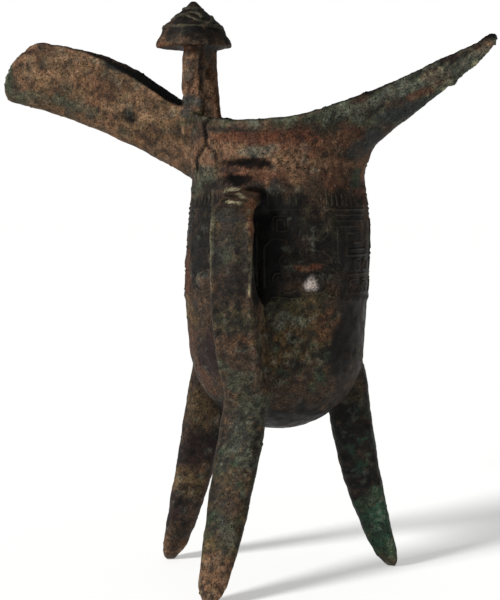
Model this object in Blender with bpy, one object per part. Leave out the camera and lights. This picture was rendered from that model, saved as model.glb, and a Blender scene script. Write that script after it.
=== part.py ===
"""A cast bronze jue: a three-legged wine vessel with a pouring spout, a pointed tail,
a strap handle and one capped post that straddles the root of the spout.

Metres, +Z up. The spout points to -X, the tail to +X and the handle to -Y.
The vessel is one casting, so it is one closed solid. The origin is under the middle
of its outline, on the ground that the three feet stand on.
"""
import math

import bmesh
import bpy
from mathutils import Vector

MM = 0.001

# Walls
wall = 2.3 * MM                    # cup, spout and tail walls
floor_wall = 2.8 * MM              # bottom of the cup

# Cup: an oval bowl, widest along X
belly_half_length = 30.3 * MM
neck_half_length = 28.2 * MM
mouth_half_length = 28.8 * MM
oval_ratio = 0.85                  # width over length of the cup
mouth_oval_ratio = 0.89            # the mouth is a little rounder than the cup
belly_lean = 0.45 * MM             # the cup isn't quite upright
cup_bottom = 48.2 * MM
bowl_top = 78.0 * MM               # the round bottom ends here
bowl_narrowing = 1.2 * MM          # the cup is this much shorter there than at the belly
belly_height = 102.0 * MM
neck_height = 128.0 * MM
mouth_height = 147.5 * MM          # the lowest part of the rim
above_mouth = 12.0 * MM            # the cup is made this much too tall, then cut at the rim
bowl_roundness = 2.1               # exponent of the bottom's curve

# Band of ornament round the cup: a raised thread above and below, and four eyes
band_top = 126.0 * MM
band_bottom = 91.5 * MM
thread_width = 1.1 * MM
thread_stand = 0.45 * MM
eye_height = 97.5 * MM
eye_turns = (-53.0, -127.0, 53.0, 127.0)   # degrees round the cup, from the tail
eye_radius = 3.2 * MM
eye_flatness = 0.8                 # height over width of an eye
eye_stand = 1.3 * MM

# Spout. Along the vessel, 0 is the mouth's end and 1 the end of the spout or of the tail.
spout_reach = 95.4 * MM            # from the cup's axis to the end of the spout
spout_end_half_width = 9.0 * MM
spout_half_width = 10.4 * MM
spout_root_half_width = 15.5 * MM  # where it opens into the mouth
spout_peak_height = 174.7 * MM
spout_peak_back = 16.2 * MM        # from the spout's end to its highest point
spout_end_keel_height = 155.4 * MM
spout_root_keel_height = 129.6 * MM
spout_keel_arch = 3.0 * MM         # the keel line bows up by this much
spout_edge_height = 3.4 * MM       # the end's edge stands this far over the keel before it rounds
spout_corner = 2.6 * MM            # and this is how far the corner below it rounds

# Tail
tail_reach = 71.4 * MM
tail_tip_height = 174.1 * MM
tail_root_half_width = 17.5 * MM
tail_tip_half_width = 0.6 * MM
tail_tip_depth = 1.6 * MM          # from the tip's edge down to its keel
tail_solid_tip = 5.0 * MM          # the channel in the tail ends this far from the tip

# Lip round the mouth and along the tail
lip_height = 4.2 * MM
lip_stand = 0.8 * MM
lip_gap = 4.7 * MM                 # the lip starts this far behind the post

# Legs: three tapering blades with a ridge inside
leg_top = 86.0 * MM
leg_wall_height = 70.0 * MM        # where the outer face leaves the wall of the cup
leg_root_width = 16.5 * MM
leg_width = 15.8 * MM
leg_foot_width = 6.4 * MM
leg_depth = 13.8 * MM
leg_foot_depth = 5.4 * MM
legs = {                           # turns are in degrees round the cup, from the tail
    "near": {
        "root_turn": -96.49,
        "root_stand": 0.74 * MM,   # how far its outer face stands out of the wall
        "foot_turn": -100.85,
        "splay": 21.47 * MM,       # how much further out the foot's outer edge is
        "bow": 0.0 * MM,           # how far it bows inward between them
    },
    "tail": {
        "root_turn": 28.86,
        "root_stand": 1.98 * MM,
        "foot_turn": 30.15,
        "splay": 13.21 * MM,
        "bow": 1.3 * MM,
    },
    "spout": {
        "root_turn": 172.83,
        "root_stand": 0.7 * MM,
        "foot_turn": 172.44,
        "splay": 13.74 * MM,
        "bow": 0.0 * MM,
    },
}
leg_sink = 5.0 * MM                # above that height the leg sinks into the wall

# Handle: one strap that runs down into the near leg
strap_width = 13.2 * MM
strap_thickness = 3.4 * MM
strap_crown = 0.9 * MM             # the outer face bulges by this much
strap_edge = 0.5 * MM              # a raised thread along each edge
strap_edge_width = 1.5 * MM
strap_place = -2.5 * MM            # along X
strap_gap = 11.25 * MM             # room for a finger, between the belly and the strap
strap_top = 126.0 * MM
strap_bottom = 57.0 * MM           # its face has run out on the leg there

# Post and its cap
post_inset = 3.6 * MM              # from the mouth's end to the middle of the post
post_lean = -0.9 * MM              # the top leans to the spout by this much
prong_width = 5.4 * MM             # along X
prong_thickness = 3.4 * MM
prong_top_width = 6.8 * MM
prong_spread = 10.8 * MM           # from the middle to a prong's centre, at the rim
prong_top_spread = 5.6 * MM
prong_foot = 143.5 * MM
prong_join = 6.1 * MM              # the prongs have joined this far under the cap
prong_flare = 0.35                 # they widen by this share at the foot
prong_flare_height = 8.0 * MM
cap_radius = 12.5 * MM
cap_overhang = 3.4 * MM            # the cap's middle is nearer the spout than the post's
cap_base = 172.1 * MM
cap_height = 14.9 * MM
cap_hollow = 0.8 * MM
cap_step_height = 5.2 * MM         # a small step runs round the cap, above the brim
cap_step = 0.45 * MM
cap_brim = 0.9 * MM                # the brim's edge
cap_fullness = 0.84                # under 1 swells the cone a little
post_place = -(mouth_half_length - post_inset)
cap_apex = cap_base + cap_height

# Cutters
above_edge = 9.0 * MM              # the channels are made this much too high, then cut at the rim
overrun = 3.0 * MM                 # how far a cut goes past what it cuts
thinnest = 0.25 * MM               # where a tapering cutter ends

# How finely the curves are cut
cup_sides = 42
cap_sides = 32
section_steps = 16
leg_rings = 12

patina = (0.118, 0.092, 0.058)


def smooth_through(points, x):
    """A smooth curve through a few points, read at x."""
    last = len(points) - 1
    if x <= points[0][0]:
        return points[0][1]
    if x >= points[last][0]:
        return points[last][1]
    i = 0
    while points[i + 1][0] < x:
        i += 1

    def slope(k):
        if k == 0:
            return chord(0)
        if k == last:
            return chord(last - 1)
        before, after = chord(k - 1), chord(k)
        if before * after <= 0:
            return 0.0
        return 2 * before * after / (before + after)

    def chord(k):
        return (points[k + 1][1] - points[k][1]) / (points[k + 1][0] - points[k][0])

    span = points[i + 1][0] - points[i][0]
    t = (x - points[i][0]) / span
    h00 = 2 * t**3 - 3 * t**2 + 1
    h10 = t**3 - 2 * t**2 + t
    h01 = -2 * t**3 + 3 * t**2
    h11 = t**3 - t**2
    return (h00 * points[i][1] + h10 * span * slope(i)
            + h01 * points[i + 1][1] + h11 * span * slope(i + 1))


def steps_between(start, end, count):
    return [start + (end - start) * i / count for i in range(count + 1)]


def loft(name, rings, collection, start_point=None, end_point=None):
    """A closed solid through rings of points, with a flat or a pointed end."""
    mesh = bpy.data.meshes.new(name)
    bm = bmesh.new()
    loops = [[bm.verts.new(p) for p in ring] for ring in rings]
    count = len(rings[0])
    for low, high in zip(loops, loops[1:]):
        for i in range(count):
            j = (i + 1) % count
            bm.faces.new((low[i], low[j], high[j], high[i]))
    for loop, point in ((loops[0], start_point), (loops[-1], end_point)):
        if point is None:
            bm.faces.new(loop)
            continue
        tip = bm.verts.new(point)
        for i in range(count):
            bm.faces.new((loop[i], loop[(i + 1) % count], tip))
    bmesh.ops.recalc_face_normals(bm, faces=bm.faces)
    bmesh.ops.triangulate(bm, faces=[f for f in bm.faces if len(f.verts) > 4])
    bm.to_mesh(mesh)
    bm.free()
    obj = bpy.data.objects.new(name, mesh)
    collection.objects.link(obj)
    return obj


def as_cutter(obj):
    obj.hide_render = True
    obj.display_type = "WIRE"
    return obj


def boolean(target, other, operation):
    mod = target.modifiers.new(other.name, "BOOLEAN")
    mod.operation = operation
    mod.solver = "EXACT"
    mod.object = other


def toward_spout(share):
    """A place along X: 0 at the mouth's end, 1 at the end of the spout."""
    return -(mouth_half_length + (spout_reach - mouth_half_length) * share)


def toward_tail(share):
    """A place along X: 0 at the mouth's end, 1 at the tip of the tail."""
    return mouth_half_length + (tail_reach - mouth_half_length) * share


def rim_height(x):
    """Height of the rim's edge above the ground, along the vessel."""
    peak = -spout_reach + spout_peak_back
    spout_rise = spout_peak_height - mouth_height
    tail_rise = tail_tip_height - mouth_height
    line = [(peak, mouth_height + spout_rise)]
    for share, rise in ((0.543, 0.879), (0.363, 0.691), (0.198, 0.441), (0.033, 0.199)):
        line.append((toward_spout(share), mouth_height + rise * spout_rise))
    for share, rise in ((-0.694, 0.070), (-0.104, 0.0)):
        line.append((share * mouth_half_length, mouth_height + rise * spout_rise))
    for share, rise in ((0.417, 0.045), (0.833, 0.199)):
        line.append((share * mouth_half_length, mouth_height + rise * tail_rise))
    for share, rise in ((0.310, 0.485), (0.732, 0.808), (1.0, 1.0)):
        line.append((toward_tail(share), mouth_height + rise * tail_rise))
    return smooth_through(line, x)


def cup_half_length(z):
    """Half of the cup's length at a height, from its round bottom to its mouth."""
    low = belly_half_length - bowl_narrowing
    if z < bowl_top:
        depth = (bowl_top - z) / (bowl_top - cup_bottom)
        return low * (1 - min(depth, 1.0)**bowl_roundness)**(1 / bowl_roundness)
    shoulder = 0.6 * neck_height + 0.4 * belly_height
    return smooth_through([
        (bowl_top, low),
        (belly_height, belly_half_length),
        (shoulder, 0.64 * belly_half_length + 0.36 * neck_half_length),
        (neck_height, neck_half_length),
        (mouth_height, mouth_half_length),
    ], z)


def cup_middle(z):
    """The cup isn't quite true: its belly leans to the spout below, to the tail above."""
    return smooth_through([
        (0.33 * bowl_top + 0.67 * cup_bottom, 0.0),
        (0.58 * bowl_top + 0.42 * belly_height, -belly_lean),
        (0.46 * belly_height + 0.54 * neck_height, belly_lean),
        (0.41 * neck_height + 0.59 * mouth_height, 0.0),
    ], z)


def wall_distance(turn, z):
    """From the cup's axis to the outside of its wall, in one direction."""
    a = cup_half_length(z)
    b = a * cup_ratio(z)
    return 1 / math.hypot(math.cos(turn) / a, math.sin(turn) / b)


def cup_ratio(z):
    rise = (z - neck_height) / (mouth_height - neck_height)
    return oval_ratio + (mouth_oval_ratio - oval_ratio) * min(max(rise, 0.0), 1.0)


def cup_solid(name, collection, grow, bottom, top, rows, threads=()):
    """The oval cup, grown or shrunk by a distance, from its bottom up past the rim."""
    bowl = [bottom + (bowl_top - bottom) * (1 - math.cos(a))
            for a in steps_between(0.16, math.pi / 2, 8)]
    above = steps_between(bowl_top, top, rows)[1:]
    raised = {}
    for z in threads:
        above = [h for h in above if abs(h - z) > thread_width]
        for step, stand in ((-0.5, 0), (-0.25, 1), (0.25, 1), (0.5, 0)):
            raised[z + step * thread_width] = stand * thread_stand
    above = sorted(above + list(raised))
    stretch = (bowl_top - bottom) / (bowl_top - cup_bottom)
    rings = []
    for z in bowl + above:
        like = bowl_top - (bowl_top - z) / stretch if z < bowl_top else z
        half = cup_half_length(like)
        share = half / belly_half_length
        out = grow * min(1.0, share) + raised.get(z, 0.0)
        a = half + out
        b = half * cup_ratio(z) + out
        rings.append([(cup_middle(z) + a * math.cos(t), b * math.sin(t), z)
                      for t in (2 * math.pi * (i + 0.5) / cup_sides for i in range(cup_sides))])
    return loft(name, rings, collection, start_point=(0, 0, bottom))


def eye(name, collection, turn):
    """A low round boss on the wall of the cup."""
    t = math.radians(turn)
    a = cup_half_length(eye_height)
    b = a * oval_ratio
    middle = Vector((cup_middle(eye_height) + a * math.cos(t), b * math.sin(t), eye_height))
    out = Vector((b * math.cos(t), a * math.sin(t), 0)).normalized()
    across = Vector((-out.y, out.x, 0))
    up = Vector((0, 0, 1))
    rings = []
    for share, stand in ((1.0, -1.6), (1.0, 0.0), (0.86, 0.55), (0.55, 0.9)):
        rings.append([middle + out * (stand * eye_stand)
                      + across * (share * eye_radius * math.cos(c))
                      + up * (eye_flatness * share * eye_radius * math.sin(c))
                      for c in steps_between(0, 2 * math.pi * 11 / 12, 11)])
    return as_cutter(loft(name, rings, collection, end_point=middle + out * eye_stand))


def trough(name, collection, stations, half_width, keel, top, fullness, grow):
    """An open channel along X: a U-shaped section swept through the stations."""
    rings = []
    for x in stations:
        w = max(half_width(x) + grow, thinnest)
        low = keel(x) - grow
        high = top(x)
        side = high - low
        ring = []
        for i in range(section_steps + 1):
            a = math.pi * i / section_steps
            y = -w * math.copysign(abs(math.cos(a))**(2 / fullness(x)), math.cos(a))
            ring.append((x, y, high - side * math.sin(a)**(2 / fullness(x))))
        rings.append(ring)
    return loft(name, rings, collection)


def above_rim(x):
    return rim_height(x) + above_edge


def spout_width(x):
    return smooth_through([
        (-spout_reach, spout_end_half_width),
        (toward_spout(0.393), 0.375 * spout_end_half_width + 0.625 * spout_half_width),
        (toward_spout(0.033), spout_half_width),
        (-0.868 * mouth_half_length, 0.5 * (spout_half_width + spout_root_half_width)),
        (-0.625 * mouth_half_length, spout_root_half_width),
    ], x)


def spout_keel(x):
    root = toward_spout(0.0105)
    t = (x - root) / (-spout_reach - root)
    arch = 4 * spout_keel_arch * t * (1 - t)
    return spout_root_keel_height + (spout_end_keel_height - spout_root_keel_height) * t + arch


def tail_width(x):
    line = [(0.59 * mouth_half_length, 1.18 * tail_root_half_width),
            (0.73 * mouth_half_length, tail_root_half_width)]
    for share, width in ((0.028, 0.76), (0.310, 0.52), (0.615, 0.303), (0.873, 0.143)):
        line.append((toward_tail(share), width * tail_root_half_width))
    line.append((tail_reach, tail_tip_half_width))
    return smooth_through(line, x)


def tail_keel(x):
    """The tail's lower edge: it leaves the wall at the neck and rises to the tip."""
    rise = tail_tip_height - tail_tip_depth - neck_height
    line = [(0.59 * mouth_half_length, neck_height - 0.49 * rise),
            (0.92 * mouth_half_length, neck_height - 0.11 * rise)]
    for share, height in ((-0.005, 0.072), (0.045, 0.213), (0.122, 0.301), (0.420, 0.519),
                          (0.709, 0.733), (0.897, 0.867), (1.0, 1.0)):
        line.append((toward_tail(share), neck_height + height * rise))
    return smooth_through(line, x)


def spout_solid(name, collection, grow, past_end):
    end = -spout_reach
    stations = [end - past_end] + steps_between(end + 2 * thinnest, toward_spout(0.063), 9)
    stations += steps_between(toward_spout(0.018), -0.625 * mouth_half_length, 5)
    return trough(name, collection, stations, spout_width, spout_keel, above_rim,
                  lambda x: 2.5, grow)


def tail_fullness(x):
    """The tail's section is nearly a V where it leaves the cup, and a U further out."""
    root = 0.69 * mouth_half_length
    return 1.7 + 0.3 * min(max((x - root) / root, 0), 1)


def tail_inner_keel(x):
    """One wall inside the tail's lower edge, also where that climbs steeply out of the neck."""
    shares = [i / 8 for i in range(9)]
    raised = max(tail_keel(min(x + share * wall, tail_reach)) + wall * math.sqrt(1 - share**2)
                 for share in shares)
    return raised - wall


def tail_solid(name, collection, grow, shortened):
    stations = steps_between(0.625 * mouth_half_length, 0.9 * mouth_half_length, 3)
    stations += steps_between(toward_tail(-0.019), toward_tail(0.146), 5)
    stations += steps_between(toward_tail(0.216), tail_reach - shortened, 9)
    keel = tail_inner_keel if grow < 0 else tail_keel
    return trough(name, collection, stations, tail_width, keel, above_rim, tail_fullness, grow)


def side_prism(name, collection, outline, half_width):
    """A flat outline in the XZ plane, given thickness along Y."""
    rings = [[(x, y, z) for x, z in outline] for y in (-half_width, half_width)]
    return loft(name, rings, collection)


def rim_cutter(collection):
    """Everything above the rim's line and beyond the rounded end of the spout."""
    peak = -spout_reach + spout_peak_back
    line = [(x, rim_height(x)) for x in steps_between(tail_reach + overrun, peak, 54)]
    corner_height = spout_end_keel_height + spout_edge_height
    drop = spout_peak_height - corner_height
    for a in steps_between(0, math.pi / 2, 9)[1:]:
        line.append((peak - spout_peak_back * math.sin(a)**1.25,
                     spout_peak_height - drop * (1 - math.cos(a)**1.25)))
    for a in steps_between(0, math.pi / 3, 3)[1:]:
        line.append((-spout_reach + spout_corner * (1 - math.cos(a)),
                     corner_height - 1.5 * spout_corner * math.sin(a)))
    below = spout_end_keel_height - 4 * overrun
    far = -spout_reach - 5 * overrun
    ceiling = spout_peak_height + 10 * overrun
    line += [(-spout_reach + 0.77 * spout_corner, below), (far, below), (far, ceiling),
             (tail_reach + overrun, ceiling)]
    return as_cutter(side_prism("cut_above_rim", collection, line, 2 * belly_half_length))


def lip_slab(name, collection):
    """A slice of space just under the rim's edge, past the post and along the tail."""
    stations = steps_between(post_place + lip_gap, tail_reach + overrun, 40)
    line = [(x, rim_height(x) - lip_height) for x in stations]
    line += [(x, rim_height(x) + above_edge) for x in reversed(stations)]
    return as_cutter(side_prism(name, collection, line, 2 * belly_half_length))


def leg(name, collection, root_turn, root_stand, foot_turn, splay, bow):
    """A tapering leg: a slightly bowed outer face, and a ridge that faces inward."""
    root_turn, foot_turn = math.radians(root_turn), math.radians(foot_turn)
    root_out = wall_distance(root_turn, leg_wall_height) + root_stand
    root = Vector((math.cos(root_turn), math.sin(root_turn))) * root_out
    out = Vector((math.cos(foot_turn), math.sin(foot_turn)))
    foot = out * (root_out + splay)
    across = Vector((-out.y, out.x))
    heights = [share * leg_wall_height for share in (0.0, 0.014, 0.043, 0.093, 0.171)]
    heights += steps_between(0.271 * leg_wall_height, leg_top, leg_rings - len(heights))
    rings = []
    for z in heights:
        rise = min(z / leg_wall_height, 1.0)
        sunk = max(0.0, z - leg_wall_height) / (leg_top - leg_wall_height)
        outer = foot.lerp(root, rise) - out * (leg_sink * sunk + bow * math.sin(math.pi * rise))
        width = leg_foot_width + (leg_width - leg_foot_width) * smooth_through(
            [(0.0, 0.0), (0.043, 0.234), (0.171, 0.574), (0.386, 0.809), (0.714, 1.0)], rise)
        width += (leg_root_width - leg_width) * min(max((rise - 0.714) / 0.286, 0.0), 1.0)
        width *= 1 - 0.4 * sunk
        depth = leg_foot_depth + (leg_depth - leg_foot_depth) * smooth_through(
            [(0.0, 0.0), (0.043, 0.190), (0.171, 0.476), (0.386, 0.810), (0.643, 1.0)], rise)
        ring = []
        for side, inward in ((-0.44, 0.14), (-0.5, 0.34), (-0.38, 0.6), (-0.14, 0.94),
                             (0.0, 1.0), (0.14, 0.94), (0.38, 0.6), (0.5, 0.34),
                             (0.44, 0.14), (0.25, 0.03), (0.0, 0.0), (-0.25, 0.03)):
            p = outer + across * (side * width) - out * (inward * depth)
            ring.append((p.x, p.y, z))
        rings.append(ring)
    return loft(name, rings, collection)


def handle(collection):
    """The strap: out from under the neck, down, and on into the face of the near leg.

    Each station has a point on its outer face and one on its inner face. Their first number
    runs from the belly (0) to the strap's front (1), the second from its bottom to its top.
    """
    belly = -belly_half_length * oval_ratio
    front = belly - strap_gap - strap_thickness
    inside = strap_gap / (strap_gap + strap_thickness)
    stations = (
        ((-0.256, 0.993), (-0.256, 0.913)),
        ((0.222, 0.984), (0.256, 0.922)),
        ((0.700, 0.951), (inside - 0.150, 0.891)),
        ((0.898, 0.906), (inside - 0.055, 0.855)),
        ((0.973, 0.848), (inside - 0.014, 0.804)),
        ((1.000, 0.696), (inside, 0.710)),
        ((0.986, 0.594), (inside - 0.068, 0.630)),
        ((0.932, 0.493), (inside - 0.273, 0.555)),
        ((0.822, 0.399), (0.187, 0.497)),
        ((0.645, 0.297), (-0.222, 0.457)),
        ((0.440, 0.188), (-0.530, 0.333)),
        ((0.263, 0.087), (-0.461, 0.188)),
        ((0.085, 0.000), (-0.325, 0.043)),
    )

    def spot(place):
        reach, rise = place
        return Vector((belly + (front - belly) * reach, strap_bottom + (strap_top - strap_bottom) * rise))

    half = 0.5 * strap_width
    flat = half - 2.5 * strap_edge_width
    section = [(-half, 0, 0), (half, 0, 0), (half, 1, strap_edge), (half - strap_edge_width, 1, strap_edge),
               (half - 1.5 * strap_edge_width, 1, 0)]
    section += [(x, 1, strap_crown * (1 - (x / half)**2)) for x in steps_between(flat, -flat, 4)]
    section += [(-half + 1.5 * strap_edge_width, 1, 0), (-half + strap_edge_width, 1, strap_edge),
                (-half, 1, strap_edge)]
    rings = []
    for outer, inner in stations:
        outer, inner = spot(outer), spot(inner)
        out = (outer - inner).normalized()
        ring = []
        for x, share, stand in section:
            p = inner.lerp(outer, share) + out * stand
            ring.append((strap_place + x, p.x, p.y))
        rings.append(ring)
    return as_cutter(loft("cut_handle", rings, collection))


def prong(name, collection, side):
    """One prong of the post, from inside the wall of the spout's root to the crown."""
    rings = []
    for z in steps_between(prong_foot, cap_base + cap_hollow, 10):
        t = (z - prong_foot) / (cap_base - prong_foot)
        joined = max(0.0, 1 - (cap_base - z) / prong_join)
        spread = prong_spread + (prong_top_spread - prong_spread) * min(1.0, t * 1.15)**1.3
        flare = 1.0 + prong_flare * max(0.0, 1 - (z - prong_foot) / prong_flare_height)
        half_x = 0.5 * flare * (prong_width + (prong_top_width - prong_width) * t**2)
        thick = prong_thickness * (1 + 0.65 * t)
        x = post_place + post_lean * t
        y_out = side * (spread + (0.5 + 0.088 * t) * prong_thickness)
        y_in = side * max(spread + 0.5 * prong_thickness - thick, 0.0)
        if joined > 0:
            y_in = -side * 0.118 * prong_thickness * joined
        round_off = 0.28
        ring = []
        for cx, cy in ((-1, 0), (-1 + round_off, -1), (1 - round_off, -1), (1, 0)):
            ring.append((x + cx * half_x, y_out - (1 + cy) * side * 0.265 * prong_thickness, z))
        ring += [(x + half_x, y_in, z), (x - half_x, y_in, z)]
        rings.append(ring)
    return as_cutter(loft(name, rings, collection))


def cap(collection):
    """The post's cap: a cone with a worn step above its brim, and a hollowed underside."""
    middle = post_place - cap_overhang
    step_z = cap_base + cap_step_height
    step_r = 0.79 * cap_radius
    cone_z = step_z + 2.67 * cap_step
    profile = [(0.45 * cap_radius, cap_base + cap_hollow),
               (0.86 * cap_radius, cap_base + 0.25 * cap_hollow),
               (0.985 * cap_radius, cap_base), (cap_radius, cap_base + cap_brim),
               (0.92 * cap_radius, cap_base + 0.56 * cap_step_height), (step_r, step_z),
               (step_r + cap_step, step_z + 0.78 * cap_step), (step_r - 0.22 * cap_step, cone_z)]
    for t in (0.3, 0.6, 0.85):
        profile.append((step_r * (1 - t)**cap_fullness, cone_z + 0.97 * (cap_apex - cone_z) * t))
    rings = []
    for r, z in profile:
        turns = [2 * math.pi * i / cap_sides for i in range(cap_sides)]
        rings.append([(middle + r * math.cos(a), r * math.sin(a), z) for a in turns])
    return as_cutter(loft("cut_cap", rings, collection, start_point=(middle, 0, cap_base + cap_hollow),
                          end_point=(middle, 0, cap_apex)))


def bronze():
    mat = bpy.data.materials.new("patinated_bronze")
    mat.use_nodes = True
    shader = mat.node_tree.nodes["Principled BSDF"]
    shader.inputs["Base Color"].default_value = (*patina, 1)
    shader.inputs["Metallic"].default_value = 0.55
    shader.inputs["Roughness"].default_value = 0.55
    return mat


def vessel(parts, cutters):
    top = mouth_height + above_mouth
    body = cup_solid("jue_vessel", parts, 0.0, cup_bottom, top, 13, (band_bottom, band_top))
    boolean(body, as_cutter(spout_solid("cut_spout", cutters, 0.0, overrun)), "UNION")
    boolean(body, as_cutter(tail_solid("cut_tail", cutters, 0.0, 0.0)), "UNION")

    for i, turn in enumerate(eye_turns):
        boolean(body, eye("cut_eye_" + str(i), cutters, turn), "UNION")

    lip = as_cutter(cup_solid("cut_lip", cutters, lip_stand, cup_bottom, top + 2 * thinnest, 9))
    boolean(lip, as_cutter(tail_solid("cut_lip_tail", cutters, lip_stand, tail_tip_half_width)), "UNION")
    boolean(lip, lip_slab("cut_lip_slab", cutters), "INTERSECT")
    boolean(body, lip, "UNION")

    for name, place in legs.items():
        boolean(body, as_cutter(leg("cut_leg_" + name, cutters, **place)), "UNION")
    boolean(body, handle(cutters), "UNION")

    boolean(body, rim_cutter(cutters), "DIFFERENCE")
    boolean(body, as_cutter(cup_solid("cut_cup_inside", cutters, -wall, cup_bottom + floor_wall,
                                      top + 4 * thinnest, 9)), "DIFFERENCE")
    boolean(body, as_cutter(spout_solid("cut_spout_inside", cutters, -wall, 2 * overrun)), "DIFFERENCE")
    boolean(body, as_cutter(tail_solid("cut_tail_inside", cutters, -wall, tail_solid_tip)), "DIFFERENCE")

    for name, side in (("near", -1), ("far", 1)):
        boolean(body, prong("cut_prong_" + name, cutters, side), "UNION")
    boolean(body, cap(cutters), "UNION")
    return body


def stand_over_origin(body, cutters):
    """Moves the vessel so that the origin is under the middle of its outline."""
    bpy.context.view_layer.update()
    shape = body.evaluated_get(bpy.context.evaluated_depsgraph_get()).to_mesh()
    corners = [v.co.copy() for v in shape.vertices]
    middle = [0.5 * (min(c[i] for c in corners) + max(c[i] for c in corners)) for i in (0, 1)]
    for obj in [body] + list(cutters.objects):
        obj.location = (-middle[0], -middle[1], 0)
    bpy.context.view_layer.update()


def main():
    for obj in list(bpy.data.objects):
        bpy.data.objects.remove(obj, do_unlink=True)
    parts = bpy.data.collections.new("bronze_jue")
    cutters = bpy.data.collections.new("jue_cutters")
    for collection in (parts, cutters):
        bpy.context.scene.collection.children.link(collection)
    body = vessel(parts, cutters)
    body.data.materials.append(bronze())
    body.data.shade_smooth()
    stand_over_origin(body, cutters)


main()
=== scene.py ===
import math

import bmesh
import bpy
import numpy as np
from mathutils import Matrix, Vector


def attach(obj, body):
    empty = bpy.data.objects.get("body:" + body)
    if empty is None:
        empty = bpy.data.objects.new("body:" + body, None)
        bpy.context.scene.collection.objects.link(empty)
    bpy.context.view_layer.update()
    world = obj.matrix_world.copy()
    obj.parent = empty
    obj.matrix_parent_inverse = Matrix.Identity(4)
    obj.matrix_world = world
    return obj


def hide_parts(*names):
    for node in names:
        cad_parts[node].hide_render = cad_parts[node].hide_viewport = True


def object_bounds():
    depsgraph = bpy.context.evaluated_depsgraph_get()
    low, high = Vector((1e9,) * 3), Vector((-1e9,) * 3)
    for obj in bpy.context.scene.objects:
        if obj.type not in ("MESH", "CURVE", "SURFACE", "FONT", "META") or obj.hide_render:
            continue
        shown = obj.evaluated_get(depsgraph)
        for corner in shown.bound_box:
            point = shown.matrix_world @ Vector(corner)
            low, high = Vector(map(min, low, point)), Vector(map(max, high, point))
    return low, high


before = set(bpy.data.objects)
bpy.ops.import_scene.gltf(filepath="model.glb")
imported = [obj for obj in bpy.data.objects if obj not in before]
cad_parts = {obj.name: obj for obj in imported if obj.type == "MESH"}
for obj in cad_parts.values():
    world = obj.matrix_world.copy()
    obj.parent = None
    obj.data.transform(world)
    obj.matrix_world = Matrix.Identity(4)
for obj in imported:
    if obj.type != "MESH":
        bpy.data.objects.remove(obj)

mm = 0.001
cadLow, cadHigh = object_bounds()

# The cup's upright axis, found from the frame: every place below is in mm from it.
spoutReach = 95.4
nearFootReach = 45.546
axis = Vector((cadLow.x + spoutReach * mm, cadLow.y + nearFootReach * mm, 0.0))
handleTurn = 18.0  # degrees from straight on to the handle to the photo's view


def place(x, y, z):
    return Vector((axis.x + x * mm, axis.y + y * mm, z * mm))


def toLinear(hexColour):
    channels = [int(hexColour[i:i + 2], 16) / 255 for i in (0, 2, 4)]
    return [c / 12.92 if c <= 0.04045 else ((c + 0.055) / 1.055) ** 2.4 for c in channels]


# Adds one node, sets its settings, and gives its inputs a value or another node's output.
def addNode(tree, kind, settings=None, inputs=None):
    node = tree.nodes.new(kind)
    for name, value in (settings or {}).items():
        setattr(node, name, value)
    for name, value in (inputs or {}).items():
        if isinstance(value, bpy.types.NodeSocket):
            tree.links.new(value, node.inputs[name])
        else:
            node.inputs[name].default_value = value
    return node


def calculate(tree, operation, first, second):
    return addNode(tree, "ShaderNodeMath", {"operation": operation}, {0: first, 1: second}).outputs[0]


# Noise in a Geometry Nodes tree, with patches of the size that a socket gives.
def patchNoise(tree, size):
    position = addNode(tree, "GeometryNodeInputPosition").outputs[0]
    return addNode(tree, "ShaderNodeTexNoise", None, {
        "Detail": 2.0, "Vector": position, "Scale": calculate(tree, "DIVIDE", 1.0, size)}).outputs[0]


def addObject(name, data):
    made = bpy.data.objects.new(name, data)
    bpy.context.scene.collection.objects.link(made)
    return made


# Noise that is the same each run: smooth random values on a lattice, in a few octaves.
latticeFactors = (73856093, 19349663, 83492791)
seedFactor = 2654435761
mixFactor = 1274126177
octaveFade = 0.55  # each octave's strength over that of the one before
octaveSeeds = 17  # step between the octaves' seeds
cloudGain = 1.6  # widens the sum, which is mostly near 0


def latticeValue(cells, seed):
    x, y, z = (cells[:, i] * latticeFactors[i] for i in range(3))
    key = x ^ y ^ z ^ (seed * seedFactor)
    key = (key ^ (key >> 13)) * mixFactor
    key = key ^ (key >> 16)
    return (key & 0xFFFFFF) / 0xFFFFFF * 2 - 1


def smoothNoise(points, size, seed):
    scaled = points / size
    cell = np.floor(scaled).astype(np.int64)
    t = scaled - cell
    t = t * t * t * (t * (t * 6 - 15) + 10)
    total = np.zeros(len(points))
    for dx in (0, 1):
        for dy in (0, 1):
            for dz in (0, 1):
                weight = ((t[:, 0] if dx else 1 - t[:, 0]) * (t[:, 1] if dy else 1 - t[:, 1])
                          * (t[:, 2] if dz else 1 - t[:, 2]))
                total += weight * latticeValue(cell + (dx, dy, dz), seed)
    return total


def cloud(points, size, seed, octaves=4):
    total, strength, reach = 0, 1.0, 0.0
    for i in range(octaves):
        total = total + strength * smoothNoise(points, size / 2**i, seed + octaveSeeds * i)
        reach += strength
        strength *= octaveFade
    return total / reach * cloudGain


def softStep(x, low, high):
    t = np.clip((x - low) / (high - low), 0, 1)
    return t * t * (3 - 2 * t)


def readAll(items, field, width, kind=float):
    flat = np.empty(len(items) * width, kind)
    items.foreach_get(field, flat)
    return flat.reshape(-1, width)


def readMesh(mesh):
    return readAll(mesh.vertices, "co", 3)


def writeMesh(mesh, points):
    mesh.vertices.foreach_set("co", points.ravel())
    mesh.update()


def readNormals(mesh):
    return readAll(mesh.vertex_normals, "vector", 3, np.float32).astype(float)


def readEdges(mesh):
    return readAll(mesh.edges, "vertices", 2, np.int32)


def fromAxis(points):
    return (points - np.array(axis)) / mm


# How far each point lies from a place, counted in half sizes.
def farFrom(local, at, size=(1, 1, 1)):
    return np.linalg.norm((local - np.array(at)) / np.array(size), axis=1)


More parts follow.
